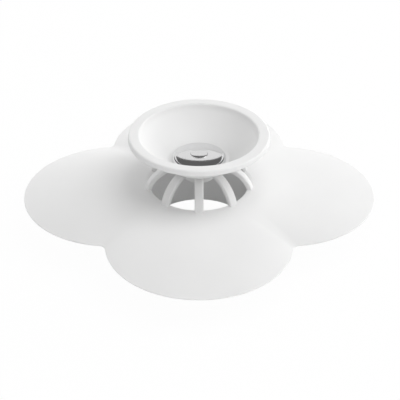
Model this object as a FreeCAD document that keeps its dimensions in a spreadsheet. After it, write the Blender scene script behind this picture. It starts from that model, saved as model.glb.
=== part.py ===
import FreeCAD, Part
import math
import os

import Sketcher

# A drain stopper: a four-petalled soft skirt with a sleeve that drops into the drain,
# a cage of bowed ribs on the sleeve's lip, and a cup on the ribs that is pressed down to plug the mouth.
# Origin on the drain's axis, at the plane that the petals rest on. +Z is up, and one petal points along +X.

# Driving dimensions in millimetres, angles in degrees
SIZES = {
    # Skirt
    "petal_reach": 72.5,
    "petal_radius": 37.3,
    "petal_edge": 0.4,
    "seat_width": 2.0,
    "skirt_wall": 1.8,
    "lip_land": 1.0,
    # Sleeve and its lip
    "lip_height": 5.8,
    "bore_radius": 20.3,
    "sleeve_wall": 2.0,
    "spigot_step": 0.3,
    "spigot_top": 1.0,
    "spigot_depth": 15.7,
    "spigot_lead": 1.0,
    "mouth_chamfer": 0.2,
    # Ribs
    "rib_count": 9,
    "rib_first_angle": 270.0,
    "rib_width": 3.6,
    "rib_outer_arc": 14.5,
    "rib_inner_arc": 12.2,
    "rib_foot_depth": 2.4,
    "rib_tip_radius": 10.4,
    "rib_tip_seat": 2.0,
    "rib_tip_depth": 1.9,
    "rib_edge": 0.5,
    # Cup
    "rim_radius": 29.0,
    "rim_top": 29.6,
    "rim_thickness": 2.2,
    "rim_mouth_radius": 24.25,
    "rim_round": 0.6,
    "rim_foot_round": 0.3,
    "rim_taper": 0.5,
    "bowl_step": 1.2,
    "bowl_step_in": 0.6,
    "bowl_arc": 43.0,
    "cup_arc": 79.0,
    "cup_top_radius": 26.2,
    "cup_bottom_radius": 12.5,
    "cup_underside": 16.0,
    "cup_floor": 1.4,
    "floor_radius": 12.0,
    "boss_radius": 6.5,
    "boss_depth": 6.2,
    "boss_edge": 0.5,
    # Metal button
    "button_radius": 11.1,
    "button_edge": 0.6,
    "button_round": 1.2,
    "button_crown": 1.0,
    # Rivet and washer
    "rivet_radius": 1.6,
    "rivet_clearance": 0.05,
    "rivet_head_radius": 3.6,
    "rivet_head_edge": 0.2,
    "rivet_head_crown": 0.3,
    "rivet_tail_radius": 2.7,
    "rivet_tail_height": 1.2,
    "washer_radius": 4.0,
    "washer_thickness": 0.8,
    "washer_clearance": 0.3,
    "washer_inset": 2.4,
    # Reach of a cut past the faces that it opens
    "overrun": 2.0,
}

ORIGIN = FreeCAD.Vector(0, 0, 0)
UP = FreeCAD.Vector(0, 0, 1)
FULL_TURN = 360.0
QUARTER_TURNS = 4
RIGHT_ANGLE = math.pi / 2
ROOT_POINT_INDEX = (-1, 1)
X_AXIS_INDEX = -1
Y_AXIS_INDEX = -2
START_INDEX = 1
END_INDEX = 2
CENTRE_INDEX = 3

doc = FreeCAD.newDocument("drain_stopper")
sheet = doc.addObject("Spreadsheet::Sheet", "Sizes")
for row, (alias, size) in enumerate(SIZES.items(), start=1):
    sheet.set("A" + str(row), alias)
    sheet.set("B" + str(row), str(size))
    sheet.setAlias("B" + str(row), alias)
doc.recompute()


def of_sheet(words):
    """An expression in the sheet's own cells, from one written with bare aliases."""
    text = words
    for alias in sorted(SIZES, key=len, reverse=True):
        text = text.replace("{" + alias + "}", "Sizes." + alias)
    return text


def value(words):
    """The present value of such an expression."""
    return float(sheet.evalExpression(of_sheet(words)))


def bind(feature, name, words):
    """Keeps a feature's value tied to the sheet."""
    feature.setExpression(name, of_sheet(words))


def new_body(label):
    """A piece of the stopper, under the name of its file."""
    body = doc.addObject("PartDesign::Body", label)
    body.Label = label
    return body


def new_sketch(body, name, role, lift=None):
    """A sketch on one of the body's own origin planes, lifted off it where lift is given."""
    sketch = body.newObject("Sketcher::SketchObject", name)
    plane = next(f for f in body.Origin.OriginFeatures if f.Role == role)
    sketch.AttachmentSupport = [(plane, "")]
    sketch.MapMode = "FlatFace"
    if lift:
        bind(sketch, "AttachmentOffset.Base.z", lift)
    return sketch


def constrain(sketch, kind, where, words, start):
    """A dimension bound to the sheet, with its present value as the start."""
    index = sketch.addConstraint(Sketcher.Constraint(kind, *where, start))
    bind(sketch, "Constraints[" + str(index) + "]", words)


def fix_point(sketch, point, across, up):
    """Ties a point of the sketch to the origin by its two coordinates."""
    for kind, words, axis in (("DistanceX", across, Y_AXIS_INDEX), ("DistanceY", up, X_AXIS_INDEX)):
        if words == "0":
            sketch.addConstraint(Sketcher.Constraint("PointOnObject", *point, axis))
        else:
            constrain(sketch, kind, ROOT_POINT_INDEX + point, words, value(words))


def draw_outline(sketch, corners):
    """A closed outline through the corners, each (across, up) or (across, up, arc radius, side).

    An arc runs from its corner to the next one and bows to its side: 1 is the left of that run, -1 the right.
    """
    places = [FreeCAD.Vector(value(corner[0]), value(corner[1]), 0) for corner in corners]
    starts, ends = [], []
    for k, corner in enumerate(corners):
        first, last = places[k], places[(k + 1) % len(corners)]
        if len(corner) == 2:
            index = sketch.addGeometry(Part.LineSegment(first, last))
            starts.append((index, START_INDEX))
            ends.append((index, END_INDEX))
            continue
        radius, side = value(corner[2]), corner[3]
        run = last - first
        rise = radius - math.sqrt(radius ** 2 - (run.Length / 2) ** 2)
        left = FreeCAD.Vector(-run.y, run.x, 0).normalize()
        middle = (first + last) / 2 + left * rise * side
        index = sketch.addGeometry(Part.Arc(first, middle, last))
        # A sketch's arc always runs counter-clockwise, so one that bows to its left is stored end first
        starts.append((index, END_INDEX if side > 0 else START_INDEX))
        ends.append((index, START_INDEX if side > 0 else END_INDEX))
        constrain(sketch, "Radius", (index,), corner[2], radius)
    for k, corner in enumerate(corners):
        sketch.addConstraint(Sketcher.Constraint("Coincident", *ends[k - 1], *starts[k]))
        fix_point(sketch, starts[k], corner[0], corner[1])


def draw_petals(sketch, centre, radius):
    """A quatrefoil: four arcs, their centres on the axes, that meet in the notches between the petals."""
    reach, size = value(centre), value(radius)
    notch = math.asin(reach * math.sin(RIGHT_ANGLE / 2) / size) + RIGHT_ANGLE / 2
    for k in range(QUARTER_TURNS):
        turn = k * RIGHT_ANGLE
        middle = FreeCAD.Vector(reach * math.cos(turn), reach * math.sin(turn), 0)
        circle = Part.Circle(middle, UP, size)
        sketch.addGeometry(Part.ArcOfCircle(circle, turn - notch, turn + notch))
    for k in range(QUARTER_TURNS):
        next_petal = (k + 1) % QUARTER_TURNS
        sketch.addConstraint(Sketcher.Constraint("Coincident", k, END_INDEX, next_petal, START_INDEX))
        constrain(sketch, "Radius", (k,), radius, size)
        sign = "" if k < QUARTER_TURNS / 2 else "-"
        along = sign + "(" + centre + ")"
        fix_point(sketch, (k, CENTRE_INDEX), *((along, "0") if k % 2 == 0 else ("0", along)))


def draw_quartered_circle(sketch, radius):
    """A circle about the origin in four arcs, which meet in line with the notches between the petals."""
    near = "(" + radius + ") / sqrt(2)"
    far = "-" + near
    diagonals = [(near, far), (near, near), (far, near), (far, far)]
    draw_outline(sketch, [(across, up, radius, -1) for across, up in diagonals])


def revolve(body, name, corners):
    """Turns an outline of (radius, height) corners about the drain's axis."""
    sketch = new_sketch(body, name + "_section", "XZ_Plane")
    draw_outline(sketch, corners)
    turned = body.newObject("PartDesign::Revolution", name)
    turned.Profile = sketch
    turned.ReferenceAxis = (sketch, ["V_Axis"])
    turned.Angle = FULL_TURN
    return turned


def loft(body, kind, lower, upper):
    """Adds or takes away straight walls between two sketches, one above the other."""
    feature = body.newObject(kind, lower.Name + "_loft")
    feature.Profile = lower
    feature.Sections = [(upper, [""])]
    feature.Ruled = True
    return feature


SLEEVE_RADIUS = "({bore_radius} + {sleeve_wall})"
PETAL_CENTRE = "{petal_reach} - {petal_radius}"


def build_petal_skirt():
    """The skirt: a thin shell from the petals' edge up to the lip, with a flat seat under its edge."""
    body = new_body("petal_skirt")
    edge = new_sketch(body, "skirt_edge", "XY_Plane")
    draw_petals(edge, PETAL_CENTRE, "{petal_radius}")
    band = body.newObject("PartDesign::Pad", "skirt_edge_band")
    band.Profile = edge
    bind(band, "Length", "{petal_edge}")

    top_edge = new_sketch(body, "skirt_top_edge", "XY_Plane", "{petal_edge}")
    draw_petals(top_edge, PETAL_CENTRE, "{petal_radius}")
    lip = new_sketch(body, "skirt_lip", "XY_Plane", "{lip_height}")
    draw_quartered_circle(lip, SLEEVE_RADIUS + " + {lip_land}")
    loft(body, "PartDesign::AdditiveLoft", top_edge, lip)

    hollow_edge = new_sketch(body, "skirt_hollow_edge", "XY_Plane")
    draw_petals(hollow_edge, PETAL_CENTRE, "{petal_radius} - {seat_width}")
    hollow_roof = new_sketch(body, "skirt_hollow_roof", "XY_Plane", "{lip_height} - {skirt_wall}")
    draw_quartered_circle(hollow_roof, SLEEVE_RADIUS + " + {lip_land}")
    loft(body, "PartDesign::SubtractiveLoft", hollow_edge, hollow_roof)

    seat = new_sketch(body, "skirt_sleeve_seat", "XY_Plane", "{lip_height} + {overrun}")
    draw_quartered_circle(seat, SLEEVE_RADIUS)
    opening = body.newObject("PartDesign::Pocket", "skirt_opening")
    opening.Profile = seat
    bind(opening, "Length", "{lip_height} + 2 * {overrun}")
    return body


def build_drain_sleeve():
    """The tube through the skirt: a collar inside the skirt, and a spigot that goes into the drain."""
    body = new_body("drain_sleeve")
    spigot = SLEEVE_RADIUS + " - {spigot_step}"
    revolve(body, "sleeve", [
        ("{bore_radius}", "-{spigot_depth}"),
        (spigot + " - {spigot_lead}", "-{spigot_depth}"),
        (spigot, "{spigot_lead} - {spigot_depth}"),
        (spigot, "{spigot_top}"),
        (SLEEVE_RADIUS, "{spigot_top}"),
        (SLEEVE_RADIUS, "{lip_height}"),
        ("{bore_radius} + {mouth_chamfer}", "{lip_height}"),
        ("{bore_radius}", "{lip_height} - {mouth_chamfer}"),
    ])
    return body


def build_rib(number):
    """One rib of the cage: a bowed strip that stands on the sleeve's lip and ends flat under the cup."""
    body = new_body("rib_" + str(number))
    sketch = new_sketch(body, body.Label + "_side", "XZ_Plane")
    foot = SLEEVE_RADIUS
    tip = "{rib_tip_radius} - {rib_tip_seat}"
    draw_outline(sketch, [
        (foot, "{lip_height}", "{rib_outer_arc}", -1),
        ("{rib_tip_radius}", "{cup_underside}"),
        (tip, "{cup_underside}"),
        (tip, "{cup_underside} - {rib_tip_depth}", "{rib_inner_arc}", 1),
        (foot + " - {rib_foot_depth}", "{lip_height}"),
    ])
    strip = body.newObject("PartDesign::Pad", body.Label + "_strip")
    strip.Profile = sketch
    strip.SideType = "Symmetric"
    bind(strip, "Length", "{rib_width}")
    doc.recompute()

    bowed = [k for k, edge in enumerate(strip.Shape.Edges, start=1) if isinstance(edge.Curve, Part.Circle)]
    rounded = body.newObject("PartDesign::Fillet", body.Label + "_rounding")
    rounded.Base = (strip, ["Edge" + str(k) for k in bowed])
    bind(rounded, "Radius", "{rib_edge}")

    turn = "{rib_first_angle} + " + str(number - 1) + " * " + str(FULL_TURN) + " / {rib_count}"
    body.Placement = FreeCAD.Placement(ORIGIN, FreeCAD.Rotation(UP, value(turn)))
    bind(body, "Placement.Rotation.Angle", turn)
    return body


CUP_FLOOR = "{cup_underside} + {cup_floor}"
BOSS_END = "{cup_underside} - {boss_depth}"
WASHER_SEAT = BOSS_END + " + {washer_inset} + {washer_thickness}"
RIVET_HOLE = "{rivet_radius} + {rivet_clearance}"
BUTTON_FLANK = "({button_radius} - {button_round})"
BUTTON_SHOULDER = CUP_FLOOR + " + {button_edge} + {button_round}"
# Radius of the crown's arc, from its half width and its rise
BUTTON_ARC = "(" + BUTTON_FLANK + "^2 + {button_crown}^2) / (2 * {button_crown})"


def crown_height(radius):
    """The height of the button's crowned top at a radius from the axis."""
    top = BUTTON_SHOULDER + " + {button_crown}"
    return top + " - (" + BUTTON_ARC + ") + sqrt((" + BUTTON_ARC + ")^2 - (" + radius + ")^2)"


def build_stopper_cup():
    """The cup: a thick rim, a bowl whose outside plugs the mouth, and a boss round the button's rivet."""
    body = new_body("stopper_cup")
    recess = "{washer_radius} + {washer_clearance}"
    revolve(body, "cup", [
        (RIVET_HOLE, CUP_FLOOR),
        ("{floor_radius}", CUP_FLOOR, "{bowl_arc}", -1),
        ("{rim_mouth_radius} - {bowl_step_in}", "{rim_top} - {rim_round} - {bowl_step}"),
        ("{rim_mouth_radius}", "{rim_top} - {rim_round}"),
        ("{rim_mouth_radius} + {rim_round}", "{rim_top}"),
        ("{rim_radius} - {rim_taper} - {rim_round}", "{rim_top}", "{rim_round}", 1),
        ("{rim_radius} - {rim_taper}", "{rim_top} - {rim_round}"),
        ("{rim_radius}", "{rim_top} - {rim_thickness} + {rim_foot_round}", "{rim_foot_round}", 1),
        ("{rim_radius} - {rim_foot_round}", "{rim_top} - {rim_thickness}"),
        ("{cup_top_radius}", "{rim_top} - {rim_thickness}", "{cup_arc}", 1),
        ("{cup_bottom_radius}", "{cup_underside}"),
        ("{boss_radius}", "{cup_underside}"),
        ("{boss_radius}", BOSS_END + " + {boss_edge}"),
        ("{boss_radius} - {boss_edge}", BOSS_END),
        (recess, BOSS_END),
        (recess, WASHER_SEAT),
        (RIVET_HOLE, WASHER_SEAT),
    ])
    return body


def build_metal_button():
    """The polished button on the cup's floor: a crowned disc with a rounded edge and a hole for its rivet."""
    body = new_body("metal_button")
    revolve(body, "button", [
        (RIVET_HOLE, CUP_FLOOR),
        ("{button_radius}", CUP_FLOOR),
        ("{button_radius}", CUP_FLOOR + " + {button_edge}", "{button_round}", -1),
        (BUTTON_FLANK, BUTTON_SHOULDER, BUTTON_ARC, -1),
        (RIVET_HOLE, crown_height(RIVET_HOLE)),
    ])
    return body


def build_button_rivet():
    """The rivet: a low head on the button, a shank down through the cup, and a tail under the washer."""
    body = new_body("button_rivet")
    rim_height = crown_height("{rivet_head_radius}") + " + {rivet_head_edge}"
    head_arc = "({rivet_head_radius}^2 + {rivet_head_crown}^2) / (2 * {rivet_head_crown})"
    tail_top = WASHER_SEAT + " - {washer_thickness}"
    revolve(body, "rivet", [
        ("0", tail_top + " - {rivet_tail_height}"),
        ("{rivet_radius}", tail_top + " - {rivet_tail_height}"),
        ("{rivet_tail_radius}", tail_top),
        ("{rivet_radius}", tail_top),
        ("{rivet_radius}", crown_height("{rivet_radius}"), BUTTON_ARC, 1),
        ("{rivet_head_radius}", crown_height("{rivet_head_radius}")),
        ("{rivet_head_radius}", rim_height, head_arc, -1),
        ("0", rim_height + " + {rivet_head_crown}"),
    ])
    return body


def build_rivet_washer():
    """The washer in the boss that spreads the rivet's pull over the soft cup."""
    body = new_body("rivet_washer")
    revolve(body, "washer", [
        (RIVET_HOLE, WASHER_SEAT + " - {washer_thickness}"),
        ("{washer_radius}", WASHER_SEAT + " - {washer_thickness}"),
        ("{washer_radius}", WASHER_SEAT),
        (RIVET_HOLE, WASHER_SEAT),
    ])
    return body


pieces = [build_petal_skirt(), build_drain_sleeve()]
pieces += [build_rib(number) for number in range(1, int(SIZES["rib_count"]) + 1)]
pieces += [build_stopper_cup(), build_metal_button(), build_button_rivet(), build_rivet_washer()]
doc.recompute()

failed = [item.Label for item in doc.Objects if {"Invalid", "Error"} & set(item.State)]
failed += [piece.Label for piece in pieces if piece.Shape.isNull() or not piece.Shape.isValid()]
if failed:
    raise RuntimeError("not built: " + ", ".join(failed))

os.makedirs("parts", exist_ok=True)
for piece in pieces:
    piece.Shape.exportStep("parts/" + piece.Label + ".step")
    print(piece.Label, len(piece.Shape.Solids), round(piece.Shape.Volume, 2))
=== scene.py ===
import math

import bmesh
import bpy
from mathutils import Matrix, Vector


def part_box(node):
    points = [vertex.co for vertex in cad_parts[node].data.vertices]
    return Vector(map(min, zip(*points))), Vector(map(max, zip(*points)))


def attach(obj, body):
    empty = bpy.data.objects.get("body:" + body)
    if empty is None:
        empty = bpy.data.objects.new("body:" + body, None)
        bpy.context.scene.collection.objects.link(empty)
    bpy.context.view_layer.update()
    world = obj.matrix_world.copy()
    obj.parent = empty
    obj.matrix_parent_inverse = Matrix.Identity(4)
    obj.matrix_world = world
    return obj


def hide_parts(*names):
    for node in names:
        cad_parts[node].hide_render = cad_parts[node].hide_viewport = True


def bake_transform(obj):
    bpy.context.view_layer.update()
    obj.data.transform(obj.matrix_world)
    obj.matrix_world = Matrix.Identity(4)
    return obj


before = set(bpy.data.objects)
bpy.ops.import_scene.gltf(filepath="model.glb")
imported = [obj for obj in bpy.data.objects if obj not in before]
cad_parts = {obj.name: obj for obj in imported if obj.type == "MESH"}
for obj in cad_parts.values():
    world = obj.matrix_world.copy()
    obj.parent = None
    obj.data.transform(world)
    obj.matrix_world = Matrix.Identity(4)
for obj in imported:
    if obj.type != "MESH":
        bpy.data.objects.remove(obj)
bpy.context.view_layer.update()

# Units: metres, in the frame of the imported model. The drain's axis is Z, and the petals rest on z = 0.
MM = 0.001
ORIGIN = Vector((0, 0, 0))
UP = Vector((0, 0, 1))
ALONG_Y = Vector((0, 1, 0))
FULL_TURN = math.tau
MERGE_DISTANCE = 0.002 * MM

# Skirt
PETALS = 4
PETAL_PITCH = FULL_TURN / PETALS
PETAL_STEPS = 40
PETAL_RADIUS = 37.3 * MM
PETAL_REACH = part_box("petal_skirt")[1].x
PETAL_CENTRE = PETAL_REACH - PETAL_RADIUS
LIP_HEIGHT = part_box("petal_skirt")[1].z
LIP_LAND = 1.0 * MM
LIP_FALL = 0.1 * MM
LIP_ROUND = 0.8 * MM
PETAL_EDGE = 0.4 * MM
PETAL_EDGE_ROUND = 0.18 * MM
NOTCH_ROUND = 3.0 * MM
NOTCH_STEPS = 8
SEAT_WIDTH = 2.0 * MM
SEAT_RISE = 0.1 * MM
SKIRT_WALL = 1.8 * MM
SKIRT_RINGS = 14
SKIRT_DOME = 1.0 * MM
# What share * (1 - share) comes to halfway up a slope
DOME_PEAK = 0.25

# Sleeve
SLEEVE_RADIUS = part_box("drain_sleeve")[1].x
SLEEVE_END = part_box("drain_sleeve")[0].z
SLEEVE_WALL = 2.0 * MM
BORE_RADIUS = SLEEVE_RADIUS - SLEEVE_WALL
SPIGOT_STEP = 0.3 * MM
SPIGOT_TOP = 1.0 * MM
SPIGOT_LEAD = 1.0 * MM
SPIGOT_ROUND = 0.4 * MM
MOUTH_ROUND = 0.2 * MM

# Ribs
RIBS = 9
RIB_FIRST_ANGLE = math.radians(270)
RIB_WIDTH = 3.6 * MM
RIB_OUTER_ARC = 14.5 * MM
RIB_INNER_ARC = 12.2 * MM
RIB_FOOT_DEPTH = 2.4 * MM
RIB_TIP_RADIUS = 10.4 * MM
RIB_TIP_SEAT = 2.0 * MM
RIB_TIP_DEPTH = 1.9 * MM
RIB_ROUND = 0.6 * MM
RIB_SQUARE_ANGLE = math.radians(60)
RIB_STEPS = 18

# Cup
RIM_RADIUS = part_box("stopper_cup")[1].x
RIM_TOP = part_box("stopper_cup")[1].z
BOSS_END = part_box("stopper_cup")[0].z
RIM_THICKNESS = 2.2 * MM
RIM_MOUTH_RADIUS = 24.25 * MM
RIM_ROUND = 0.6 * MM
RIM_TAPER = 0.5 * MM
RIM_FOOT_ROUND = 0.3 * MM
BOWL_STEP = 1.8 * MM
BOWL_STEP_IN = 0.6 * MM
BOWL_ARC = 43.0 * MM
BOWL_FLOOR_RADIUS = 12.0 * MM
CUP_ARC = 79.0 * MM
CUP_TOP_RADIUS = 26.2 * MM
CUP_BOTTOM_RADIUS = 12.5 * MM
CUP_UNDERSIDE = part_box("rib_1")[1].z
CUP_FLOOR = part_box("metal_button")[0].z
BOSS_RADIUS = 6.5 * MM
BOSS_ROUND = 0.5 * MM

# Button, rivet and washer
BUTTON_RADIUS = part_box("metal_button")[1].x
BUTTON_EDGE = 0.6 * MM
BUTTON_ROUND = 1.2 * MM
BUTTON_CROWN = 1.0 * MM
RIVET_RADIUS = 1.6 * MM
RIVET_CLEARANCE = 0.05 * MM
RIVET_HOLE = RIVET_RADIUS + RIVET_CLEARANCE
RIVET_HEAD_RADIUS = 3.6 * MM
RIVET_HEAD_EDGE = 0.2 * MM
RIVET_HEAD_CROWN = 0.3 * MM
RIVET_HEAD_ROUND = 0.1 * MM
RIVET_TAIL_RADIUS = 2.7 * MM
RIVET_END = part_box("button_rivet")[0].z
WASHER_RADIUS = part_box("rivet_washer")[1].x
WASHER_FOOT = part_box("rivet_washer")[0].z
WASHER_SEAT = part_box("rivet_washer")[1].z
WASHER_CLEARANCE = 0.3 * MM
WASHER_ROUND = 0.1 * MM

# Arcs, roundings and shading. An arc bows to the left or the right of its run.
LEFT = 1
RIGHT = -1
ARC_STEPS = 14
ROUND_STEPS = 128
ROUNDING_SEGMENTS = 5
ROUND_PROFILE = 0.5
SAME_MATERIAL = -1
SHARP_ANGLE = math.radians(40)

# Finishes. Noise scales are to the metre.
WHITE = (1, 1, 1, 1)
RUBBER_DARK = (0.77, 0.77, 0.768, 1)
RUBBER_PALE = (0.81, 0.81, 0.808, 1)
RUBBER_TONE_SCALE = 45
RUBBER_TONE_DETAIL = 3
RUBBER_GRAIN_SCALE = 2600
RUBBER_GRAIN_DETAIL = 2
RUBBER_GRAIN_DEPTH = 0.03 * MM
RUBBER_GRAIN_STRENGTH = 0.2
RUBBER_ROUGHNESS = 0.5
RUBBER_ROUGHNESS_SPREAD = 0.15
RUBBER_IOR = 1.42
POLISHED_METAL = {
    "colour": (0.87, 0.87, 0.875, 1), "worn_colour": (0.82, 0.82, 0.825, 1),
    "roughness": 0.04, "line_pitch": 0.4 * MM, "line_depth": 0.0008 * MM}
FASTENER_STEEL = {
    "colour": (0.88, 0.88, 0.88, 1), "worn_colour": (0.80, 0.80, 0.805, 1),
    "roughness": 0.06, "line_pitch": 0.3 * MM, "line_depth": 0.0015 * MM}
LINE_STRENGTH = 0.3
CLOUD_SCALE = 260
CLOUD_DETAIL = 3
CLOUD_ROUGHNESS = 0.05
LEVEL_ONLY = (1, 1, 0)
# The sockets of a Mix node for colours go by number, because several share a name
MIX_SHARE = 0
MIX_FIRST = 6
MIX_SECOND = 7
MIX_RESULT = 2

# Camera and floor
PHOTO_WIDTH = 400
PHOTO_AXIS_COLUMN = 199.1
CAMERA_TARGET = Vector((0, 0, -2.6 * MM))
CAMERA_DISTANCE = 0.64146
CAMERA_AZIMUTH = math.radians(-90)
CAMERA_ELEVATION = math.radians(33.49)
CAMERA_LENS = 138.65
FLOOR_SIZE = 4.0
FLOOR_COLOUR = (0.9, 0.9, 0.9, 1)
FLOOR_GLOW = 0.97

# Light, with the lamps' angles in degrees and their powers in watts
AMBIENT = 0.43
LAMP_DISTANCE = 1.5
LAMPS = {
    "key_lamp": {"azimuth": 40, "elevation": 12, "width": 1.6, "height": 0.5, "power": 9.0},
    "side_lamp": {"azimuth": 0, "elevation": 35, "width": 0.8, "height": 0.8, "power": 3.7},
    "top_lamp": {"azimuth": -20, "elevation": 70, "width": 1.2, "height": 1.2, "power": 9.9},
    "back_lamp": {"azimuth": 120, "elevation": 12, "width": 1.6, "height": 0.5, "power": 7.9},
    "front_lamp": {"azimuth": -90, "elevation": 30, "width": 0.8, "height": 0.8, "power": 3.1},
}

# Cards for the polished metal to mirror
CARD_HEIGHT = 0.9
CARD_PLACE = 2.51
CARD_RADIUS = 1.2
CARD_STRETCH = 3.2
CARD_STEPS = 64
PALE_CARD_RADIUS = 0.5
PALE_CARD_LIGHT = 0.82
DARK_CARD_LIGHT = 0.12


def point(radius, height):
    """A place on the section through the drain's axis and +X."""
    return Vector((radius, 0, height))


def place_round(centre, angle, radius):
    """A place at that angle and radius round a centre, at the centre's height."""
    return centre + Matrix.Rotation(angle, 3, "Z") @ Vector((radius, 0, 0))


def toward(azimuth, elevation, distance):
    """A place in that direction and at that distance from the origin."""
    level = distance * math.cos(elevation)
    rise = distance * math.sin(elevation)
    return Vector((level * math.cos(azimuth), level * math.sin(azimuth), rise))


def add_line(section, *places):
    """Straight runs of a section through those places."""
    verts = [section.verts.new(place) for place in places]
    for first, last in zip(verts, verts[1:]):
        section.edges.new((first, last))


def add_arc(section, first, last, radius, side, steps=ARC_STEPS):
    """An arc of a section from first to last, which bows to the LEFT or the RIGHT of that run."""
    run = last - first
    left = Vector((-run.z, 0, run.x)).normalized()
    depth = math.sqrt(radius ** 2 - (run.length / 2) ** 2)
    centre = (first + last) / 2 - left * depth * side
    sweep = 2 * math.asin(run.length / (2 * radius)) * side
    start = section.verts.new(first)
    bmesh.ops.spin(section, geom=[start], cent=centre, axis=ALONG_Y, angle=sweep, steps=steps)


def join_runs(section):
    """Joins the runs of a section end to end."""
    bmesh.ops.remove_doubles(section, verts=section.verts, dist=MERGE_DISTANCE)


def round_off(shape, parts, size, affect):
    """Rounds corners of a section or edges of a shape."""
    bmesh.ops.bevel(shape, geom=parts, offset=size, offset_type="OFFSET", affect=affect,
                    segments=ROUNDING_SEGMENTS, profile=ROUND_PROFILE, material=SAME_MATERIAL)


def round_corner(section, place, size):
    """Rounds the corner of a section at that place."""
    corner = min(section.verts, key=lambda vert: (vert.co - place).length)
    round_off(section, [corner], size, "VERTICES")


def round_edges(shape, edges, size):
    """Rounds those edges of a shape."""
    round_off(shape, edges, size, "EDGES")


def turn(section):
    """Turns a section about the drain's axis, a whole turn."""
    bmesh.ops.spin(section, geom=section.verts[:] + section.edges[:], cent=ORIGIN, axis=UP,
                   angle=FULL_TURN, steps=ROUND_STEPS, use_merge=True)


def verts_among(parts):
    """The vertices among the parts that an operator made."""
    return [part for part in parts if isinstance(part, bmesh.types.BMVert)]


def finish_piece(name, shape, material, node):
    """A piece of the object from a closed shape, in place of its CAD node."""
    bmesh.ops.remove_doubles(shape, verts=shape.verts, dist=MERGE_DISTANCE)
    bmesh.ops.recalc_face_normals(shape, faces=shape.faces)
    for face in shape.faces:
        face.smooth = True
    for edge in shape.edges:
        edge.smooth = edge.calc_face_angle() < SHARP_ANGLE
    mesh = bpy.data.meshes.new(name)
    shape.to_mesh(mesh)
    shape.free()
    mesh.materials.append(material)
    piece = bpy.data.objects.new(name, mesh)
    bpy.context.scene.collection.objects.link(piece)
    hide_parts(node)
    return piece


def even_shading(piece):
    """Keeps flat faces flat to the light beside their rounded edges."""
    piece.modifiers.new("even_shading", "WEIGHTED_NORMAL").keep_sharp = True


class Socket:
    """An output socket of a node tree. Sums and products of sockets add Math nodes."""

    def __init__(self, tree, output=None):
        self.tree = tree
        self.output = output

    def node(self, kind, settings=None, inputs=None, output=0):
        """A new node: its settings are set first, and then the values or links of its sockets."""
        made = self.tree.nodes.new(kind)
        for name, setting in (settings or {}).items():
            setattr(made, name, setting)
        for name, value in (inputs or {}).items():
            if isinstance(value, Socket):
                self.tree.links.new(value.output, made.inputs[name])
            else:
                made.inputs[name].default_value = value
        return Socket(self.tree, made.outputs[output] if made.outputs else None)

    def math(self, operation, first, second=0):
        """A Math node. Operations on one value leave the second alone."""
        return self.node("ShaderNodeMath", {"operation": operation}, {0: first, 1: second})

    def __add__(self, other):
        return self.math("ADD", self, other)

    def __radd__(self, other):
        return self.math("ADD", other, self)

    def __mul__(self, other):
        return self.math("MULTIPLY", self, other)

    def __rmul__(self, other):
        return self.math("MULTIPLY", other, self)


def new_material(name):
    """An empty material, and a socket that adds its nodes."""
    material = bpy.data.materials.new(name)
    material.use_nodes = True
    material.node_tree.nodes.clear()
    return material, Socket(material.node_tree)


def noise(tree, scale, detail):
    """Noise from 0 to 1 in the piece's own frame, scale to the metre."""
    place = tree.node("ShaderNodeTexCoord", output="Object")
    return tree.node("ShaderNodeTexNoise", inputs={
        "Vector": place, "Scale": scale, "Detail": detail})


def mixed_colour(tree, share, first, second):
    """A colour between two, by share."""
    return tree.node("ShaderNodeMix", {"data_type": "RGBA"}, {
        MIX_SHARE: share, MIX_FIRST: first, MIX_SECOND: second}, MIX_RESULT)


def soft_rubber():
    """White soft rubber: matte, a little uneven in tone and gloss, with the fine grain of its mould."""
    material, tree = new_material("white_soft_rubber")
    tone = noise(tree, RUBBER_TONE_SCALE, RUBBER_TONE_DETAIL)
    grain = noise(tree, RUBBER_GRAIN_SCALE, RUBBER_GRAIN_DETAIL)
    bump = tree.node("ShaderNodeBump", inputs={
        "Strength": RUBBER_GRAIN_STRENGTH, "Distance": RUBBER_GRAIN_DEPTH, "Height": grain})
    shader = tree.node("ShaderNodeBsdfPrincipled", inputs={
        "Base Color": mixed_colour(tree, tone, RUBBER_DARK, RUBBER_PALE),
        "Roughness": RUBBER_ROUGHNESS + RUBBER_ROUGHNESS_SPREAD * tone,
        "Normal": bump, "IOR": RUBBER_IOR})
    tree.node("ShaderNodeOutputMaterial", inputs={"Surface": shader})
    return material


def turned_metal(name, colour, worn_colour, roughness, line_pitch, line_depth):
    """Metal turned about the drain's axis: faint rings of the tool, and a slightly cloudy polish."""
    material, tree = new_material(name)
    place = tree.node("ShaderNodeTexCoord", output="Object")
    level = tree.node("ShaderNodeVectorMath", {"operation": "MULTIPLY"}, {0: place, 1: LEVEL_ONLY})
    radius = tree.node("ShaderNodeVectorMath", {"operation": "LENGTH"}, {0: level}, "Value")
    rings = tree.math("SINE", radius * (FULL_TURN / line_pitch))
    clouds = noise(tree, CLOUD_SCALE, CLOUD_DETAIL)
    bump = tree.node("ShaderNodeBump", inputs={
        "Strength": LINE_STRENGTH, "Distance": line_depth, "Height": rings})
    shader = tree.node("ShaderNodeBsdfPrincipled", inputs={
        "Base Color": mixed_colour(tree, clouds, worn_colour, colour), "Metallic": 1,
        "Roughness": roughness + CLOUD_ROUGHNESS * clouds, "Normal": bump})
    tree.node("ShaderNodeOutputMaterial", inputs={"Surface": shader})
    return material


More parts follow.
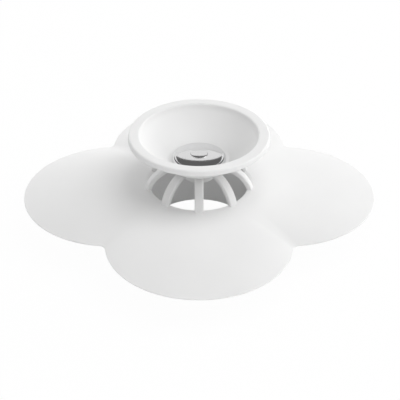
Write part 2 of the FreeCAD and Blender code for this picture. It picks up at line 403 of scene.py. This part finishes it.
def ring_of_arcs(shape, arcs):
    """A closed edge loop of those arcs, repeated for each petal. It returns the loop's edges."""
    before = set(shape.verts)
    for number in range(PETALS):
        quarter = Matrix.Rotation(number * PETAL_PITCH, 3, "Z")
        for start, centre, sweep, steps in arcs:
            first = shape.verts.new(quarter @ start)
            bmesh.ops.spin(shape, geom=[first], cent=quarter @ centre, axis=UP,
                           angle=sweep, steps=steps)
    fresh = [vert for vert in shape.verts if vert not in before]
    bmesh.ops.remove_doubles(shape, verts=fresh, dist=MERGE_DISTANCE)
    return [edge for edge in shape.edges if edge.verts[0] not in before]


def petal_outline(shape, radius, height):
    """A quatrefoil edge loop: petal arcs of that radius, and a round in each notch between them."""
    # The notch's round touches the arcs of both petals from outside
    reach = PETAL_RADIUS + NOTCH_ROUND
    along = PETAL_CENTRE * math.cos(PETAL_PITCH / 2)
    aside = PETAL_CENTRE * math.sin(PETAL_PITCH / 2)
    centre = Vector((PETAL_CENTRE, 0, height))
    notch = place_round(UP * height, PETAL_PITCH / 2, along + math.sqrt(reach ** 2 - aside ** 2))
    half = math.atan2(notch.y, notch.x - PETAL_CENTRE)
    return ring_of_arcs(shape, [
        (place_round(centre, -half, radius), centre, 2 * half, PETAL_STEPS),
        (place_round(centre, half, radius), notch, PETAL_PITCH - 2 * half, NOTCH_STEPS)])


def round_outline(shape, radius, height):
    """A circle about the drain's axis, with as many steps as the petals' outline."""
    steps = PETAL_STEPS + NOTCH_STEPS
    centre = UP * height
    start = place_round(centre, -PETAL_PITCH / 2 * PETAL_STEPS / steps, radius)
    return ring_of_arcs(shape, [(start, centre, PETAL_PITCH, steps)])


def bridge(shape, first, last):
    """Walls between two edge loops. It returns the edges that cross from one to the other."""
    return bmesh.ops.bridge_loops(shape, edges=first + last)["edges"]


def dome(shape, slopes, low, high):
    """Divides sloping edges into rings and raises the rings between their ends into a low dome."""
    rings = bmesh.ops.subdivide_edges(shape, edges=slopes, cuts=SKIRT_RINGS, use_grid_fill=True)
    for vert in verts_among(rings["geom_inner"]):
        share = (vert.co.z - low) / (high - low)
        vert.co.z += SKIRT_DOME * share * (1 - share) / DOME_PEAK


def build_petal_skirt(material):
    """The skirt: a thin domed shell from the lip out to the petals' rounded edge."""
    shape = bmesh.new()
    lip = SLEEVE_RADIUS + LIP_LAND
    roof = LIP_HEIGHT - SKIRT_WALL
    seat_roof = round_outline(shape, SLEEVE_RADIUS, roof)
    mouth = round_outline(shape, SLEEVE_RADIUS, LIP_HEIGHT)
    lip_edge = round_outline(shape, lip, LIP_HEIGHT - LIP_FALL)
    top_edge = petal_outline(shape, PETAL_RADIUS, PETAL_EDGE)
    foot_edge = petal_outline(shape, PETAL_RADIUS, 0)
    seat_edge = petal_outline(shape, PETAL_RADIUS - SEAT_WIDTH, SEAT_RISE)
    hollow_roof = round_outline(shape, lip, roof - LIP_FALL)
    bridge(shape, seat_roof, mouth)
    bridge(shape, mouth, lip_edge)
    dome(shape, bridge(shape, lip_edge, top_edge), PETAL_EDGE, LIP_HEIGHT - LIP_FALL)
    bridge(shape, top_edge, foot_edge)
    bridge(shape, foot_edge, seat_edge)
    dome(shape, bridge(shape, seat_edge, hollow_roof), SEAT_RISE, roof - LIP_FALL)
    bridge(shape, hollow_roof, seat_roof)
    round_edges(shape, lip_edge, LIP_ROUND)
    round_edges(shape, top_edge + foot_edge, PETAL_EDGE_ROUND)
    piece = finish_piece("petal_skirt_moulding", shape, material, "petal_skirt")
    even_shading(piece)
    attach(piece, "base")


def build_drain_sleeve(material):
    """The tube through the skirt, with a lead-in at its lower end and a rounded mouth."""
    spigot = SLEEVE_RADIUS - SPIGOT_STEP
    mouth = point(BORE_RADIUS, LIP_HEIGHT)
    lead_foot = point(spigot - SPIGOT_LEAD, SLEEVE_END)
    lead_top = point(spigot, SLEEVE_END + SPIGOT_LEAD)
    section = bmesh.new()
    add_line(
        section, point(BORE_RADIUS, SLEEVE_END), lead_foot, lead_top, point(spigot, SPIGOT_TOP),
        point(SLEEVE_RADIUS, SPIGOT_TOP), point(SLEEVE_RADIUS, LIP_HEIGHT), mouth,
        point(BORE_RADIUS, SLEEVE_END))
    join_runs(section)
    round_corner(section, mouth, MOUTH_ROUND)
    for corner in (lead_foot, lead_top):
        round_corner(section, corner, SPIGOT_ROUND)
    turn(section)
    piece = finish_piece("drain_sleeve_moulding", section, material, "drain_sleeve")
    even_shading(piece)
    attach(piece, "base")


def is_long_edge(edge):
    """Whether a square edge of a rib runs along its bow, and not across it or along its two seats."""
    first, last = edge.verts
    across = abs(first.co.y - last.co.y) > MERGE_DISTANCE
    seated = abs(first.co.z - last.co.z) < MERGE_DISTANCE
    return not across and not seated and edge.calc_face_angle() > RIB_SQUARE_ANGLE


def build_rib(number, material):
    """One rib of the cage: a bowed strip with rounded sides, from the sleeve's lip to the cup."""
    foot = SLEEVE_RADIUS
    tip = RIB_TIP_RADIUS - RIB_TIP_SEAT
    outer_tip = point(RIB_TIP_RADIUS, CUP_UNDERSIDE)
    inner_foot = point(foot - RIB_FOOT_DEPTH, LIP_HEIGHT)
    inner_tip = point(tip, CUP_UNDERSIDE - RIB_TIP_DEPTH)
    shape = bmesh.new()
    add_arc(shape, point(foot, LIP_HEIGHT), outer_tip, RIB_OUTER_ARC, RIGHT, RIB_STEPS)
    add_line(shape, outer_tip, point(tip, CUP_UNDERSIDE))
    # The inner arc has as many steps as the outer arc and the seat at its tip
    add_arc(shape, inner_foot, inner_tip, RIB_INNER_ARC, RIGHT, RIB_STEPS + 1)
    join_runs(shape)
    bmesh.ops.bridge_loops(shape, edges=shape.edges)
    bmesh.ops.translate(shape, verts=shape.verts, vec=-ALONG_Y * RIB_WIDTH / 2)
    far_side = bmesh.ops.extrude_face_region(shape, geom=shape.faces[:], use_keep_orig=True)
    bmesh.ops.translate(shape, verts=verts_among(far_side["geom"]), vec=ALONG_Y * RIB_WIDTH)
    bmesh.ops.recalc_face_normals(shape, faces=shape.faces)
    round_edges(shape, [edge for edge in shape.edges if is_long_edge(edge)], RIB_ROUND)
    turned = RIB_FIRST_ANGLE + (number - 1) * FULL_TURN / RIBS
    bmesh.ops.rotate(shape, verts=shape.verts, cent=ORIGIN, matrix=Matrix.Rotation(turned, 3, "Z"))
    name = "rib_" + str(number)
    piece = finish_piece(name + "_moulding", shape, material, name)
    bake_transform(piece)


def build_stopper_cup(material):
    """The cup: a thick round rim, a bowl, and a boss below it for the button's rivet."""
    recess = WASHER_RADIUS + WASHER_CLEARANCE
    hole_top = point(RIVET_HOLE, CUP_FLOOR)
    bowl_floor = point(BOWL_FLOOR_RADIUS, CUP_FLOOR)
    bowl_top = point(RIM_MOUTH_RADIUS - BOWL_STEP_IN, RIM_TOP - BOWL_STEP)
    lip = point(RIM_MOUTH_RADIUS, RIM_TOP)
    rim_edge = point(RIM_RADIUS - RIM_TAPER, RIM_TOP)
    rim_foot = point(RIM_RADIUS, RIM_TOP - RIM_THICKNESS)
    cone_top = point(CUP_TOP_RADIUS, RIM_TOP - RIM_THICKNESS)
    cone_foot = point(CUP_BOTTOM_RADIUS, CUP_UNDERSIDE)
    boss_root = point(BOSS_RADIUS, CUP_UNDERSIDE)
    boss_foot = point(BOSS_RADIUS, BOSS_END)
    section = bmesh.new()
    add_line(section, hole_top, bowl_floor)
    add_arc(section, bowl_floor, bowl_top, BOWL_ARC, RIGHT)
    add_line(section, bowl_top, lip, rim_edge, rim_foot, cone_top)
    add_arc(section, cone_top, cone_foot, CUP_ARC, LEFT)
    add_line(
        section, cone_foot, boss_root, boss_foot, point(recess, BOSS_END),
        point(recess, WASHER_SEAT), point(RIVET_HOLE, WASHER_SEAT), hole_top)
    join_runs(section)
    for corner in (lip, rim_edge, cone_foot):
        round_corner(section, corner, RIM_ROUND)
    round_corner(section, rim_foot, RIM_FOOT_ROUND)
    for corner in (boss_root, boss_foot):
        round_corner(section, corner, BOSS_ROUND)
    turn(section)
    piece = finish_piece("stopper_cup_moulding", section, material, "stopper_cup")
    even_shading(piece)
    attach(piece, "cup")


def arc_radius(half_width, rise):
    """The radius of an arc that rises so much from its ends to its middle."""
    return (half_width ** 2 + rise ** 2) / (2 * rise)


BUTTON_FLANK = BUTTON_RADIUS - BUTTON_ROUND
BUTTON_SHOULDER = CUP_FLOOR + BUTTON_EDGE + BUTTON_ROUND
BUTTON_ARC = arc_radius(BUTTON_FLANK, BUTTON_CROWN)


def crown_height(radius):
    """The height of the button's crowned top at a radius from the axis."""
    return BUTTON_SHOULDER + BUTTON_CROWN - BUTTON_ARC + math.sqrt(BUTTON_ARC ** 2 - radius ** 2)


def build_metal_button(material):
    """The polished button: a crowned disc with a well rounded edge."""
    side = point(BUTTON_RADIUS, CUP_FLOOR + BUTTON_EDGE)
    shoulder = point(BUTTON_FLANK, BUTTON_SHOULDER)
    crown = point(RIVET_HOLE, crown_height(RIVET_HOLE))
    section = bmesh.new()
    add_line(section, crown, point(RIVET_HOLE, CUP_FLOOR), point(BUTTON_RADIUS, CUP_FLOOR), side)
    add_arc(section, side, shoulder, BUTTON_ROUND, RIGHT)
    add_arc(section, shoulder, crown, BUTTON_ARC, RIGHT)
    join_runs(section)
    turn(section)
    piece = finish_piece("metal_button_cap", section, material, "metal_button")
    even_shading(piece)
    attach(piece, "cup")


def build_button_rivet(material):
    """The rivet: a low domed head on the button, a shank, and a formed tail under the washer."""
    seat = crown_height(RIVET_HEAD_RADIUS)
    edge = point(RIVET_HEAD_RADIUS, seat + RIVET_HEAD_EDGE)
    top = point(0, seat + RIVET_HEAD_EDGE + RIVET_HEAD_CROWN)
    section = bmesh.new()
    add_line(
        section, point(0, RIVET_END), point(RIVET_RADIUS, RIVET_END),
        point(RIVET_TAIL_RADIUS, WASHER_FOOT), point(RIVET_RADIUS, WASHER_FOOT),
        point(RIVET_RADIUS, crown_height(RIVET_RADIUS)), point(RIVET_HEAD_RADIUS, seat), edge)
    add_arc(section, edge, top, arc_radius(RIVET_HEAD_RADIUS, RIVET_HEAD_CROWN), RIGHT)
    join_runs(section)
    round_corner(section, edge, RIVET_HEAD_ROUND)
    turn(section)
    piece = finish_piece("button_rivet_turned", section, material, "button_rivet")
    even_shading(piece)
    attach(piece, "cup")


def build_rivet_washer(material):
    """The washer in the boss, with its edges broken."""
    corners = [point(RIVET_HOLE, WASHER_FOOT), point(WASHER_RADIUS, WASHER_FOOT),
               point(WASHER_RADIUS, WASHER_SEAT), point(RIVET_HOLE, WASHER_SEAT)]
    section = bmesh.new()
    add_line(section, *corners, corners[0])
    join_runs(section)
    for corner in corners:
        round_corner(section, corner, WASHER_ROUND)
    turn(section)
    piece = finish_piece("rivet_washer_turned", section, material, "rivet_washer")
    even_shading(piece)
    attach(piece, "cup")


def seen_directly(tree):
    """1 for the rays that show the background itself, direct or mirrored, and 0 for its light."""
    rays = [tree.node("ShaderNodeLightPath", output=name + " Ray")
            for name in ("Is Camera", "Is Glossy", "Is Transmission")]
    return tree.math("MINIMUM", rays[0] + rays[1] + rays[2], 1)


def add_stage(name, shape, material, place):
    """A flat thing of the studio, which isn't part of the object."""
    mesh = bpy.data.meshes.new(name)
    shape.to_mesh(mesh)
    shape.free()
    mesh.materials.append(material)
    thing = bpy.data.objects.new(name, mesh)
    thing.matrix_world = place
    bpy.context.scene.collection.objects.link(thing)
    return thing


def add_floor():
    """A pale floor under the sleeve that shows white, with a faint shadow of the object."""
    material, tree = new_material("pale_floor")
    matte = tree.node("ShaderNodeBsdfDiffuse", inputs={"Color": FLOOR_COLOUR})
    glow = tree.node("ShaderNodeEmission", inputs={"Color": WHITE, "Strength": 1})
    shown = FLOOR_GLOW * seen_directly(tree)
    surface = tree.node("ShaderNodeMixShader", inputs={0: shown, 1: matte, 2: glow})
    tree.node("ShaderNodeOutputMaterial", inputs={"Surface": surface})
    shape = bmesh.new()
    bmesh.ops.create_grid(shape, x_segments=1, y_segments=1, size=FLOOR_SIZE / 2)
    add_stage("floor", shape, material, Matrix.Translation((0, 0, SLEEVE_END)))


def card_material(name, light):
    """The plain even tone of a card."""
    material, tree = new_material(name)
    tone = tree.node("ShaderNodeEmission", inputs={"Strength": light})
    tree.node("ShaderNodeOutputMaterial", inputs={"Surface": tone})
    return material


def add_cards():
    """A dark oval card with a pale one in it, over the object. They show only in reflections."""
    pale = card_material("pale_card", PALE_CARD_LIGHT)
    dark = card_material("dark_card", DARK_CARD_LIGHT)
    shape = bmesh.new()
    bmesh.ops.create_circle(shape, segments=CARD_STEPS, radius=CARD_RADIUS, cap_ends=True)
    ring = bmesh.ops.inset_region(shape, faces=shape.faces[:], use_boundary=True,
                                  thickness=CARD_RADIUS - PALE_CARD_RADIUS)["faces"]
    for face in ring:
        face.material_index = 1
    bmesh.ops.scale(shape, vec=(1, CARD_STRETCH, 1), verts=shape.verts)
    cards = add_stage("cards", shape, pale, Matrix.Translation((0, CARD_PLACE, CARD_HEIGHT)))
    cards.data.materials.append(dark)
    cards.visible_camera = False
    cards.visible_diffuse = False
    cards.visible_shadow = False


def facing_object(place):
    """The place and turn of a lamp or camera there that looks at the object."""
    look = (CAMERA_TARGET - place).to_track_quat("-Z", "Y")
    return Matrix.Translation(place) @ look.to_matrix().to_4x4()


def add_lamp(name, azimuth, elevation, width, height, power):
    """A soft lamp that faces the object."""
    lamp = bpy.data.lights.new(name, "AREA")
    lamp.shape = "RECTANGLE"
    lamp.size = width
    lamp.size_y = height
    lamp.energy = power
    holder = bpy.data.objects.new(name, lamp)
    holder.matrix_world = facing_object(
        toward(math.radians(azimuth), math.radians(elevation), LAMP_DISTANCE))
    bpy.context.scene.collection.objects.link(holder)


def add_world():
    """White where the background shows, and a plain soft light from all round."""
    world = bpy.data.worlds.new("studio")
    world.use_nodes = True
    world.node_tree.nodes.clear()
    tree = Socket(world.node_tree)
    strength = AMBIENT + (1 - AMBIENT) * seen_directly(tree)
    light = tree.node("ShaderNodeBackground", inputs={"Color": WHITE, "Strength": strength})
    tree.node("ShaderNodeOutputWorld", inputs={"Surface": light})
    bpy.context.scene.world = world


def add_camera():
    """A camera at the photograph's viewing angle."""
    camera = bpy.data.cameras.new("camera")
    camera.lens = CAMERA_LENS
    camera.shift_x = (PHOTO_WIDTH / 2 - PHOTO_AXIS_COLUMN) / PHOTO_WIDTH
    holder = bpy.data.objects.new("camera", camera)
    holder.matrix_world = facing_object(
        CAMERA_TARGET + toward(CAMERA_AZIMUTH, CAMERA_ELEVATION, CAMERA_DISTANCE))
    bpy.context.scene.collection.objects.link(holder)
    bpy.context.scene.camera = holder


rubber = soft_rubber()
polished_metal = turned_metal("polished_metal", **POLISHED_METAL)
fastener_steel = turned_metal("fastener_steel", **FASTENER_STEEL)
build_petal_skirt(rubber)
build_drain_sleeve(rubber)
for number in range(1, RIBS + 1):
    build_rib(number, rubber)
build_stopper_cup(rubber)
build_metal_button(polished_metal)
build_button_rivet(fastener_steel)
build_rivet_washer(fastener_steel)
add_floor()
add_cards()
for name, setting in LAMPS.items():
    add_lamp(name, **setting)
add_world()
add_camera()
bpy.context.scene.view_settings.view_transform = "Standard"
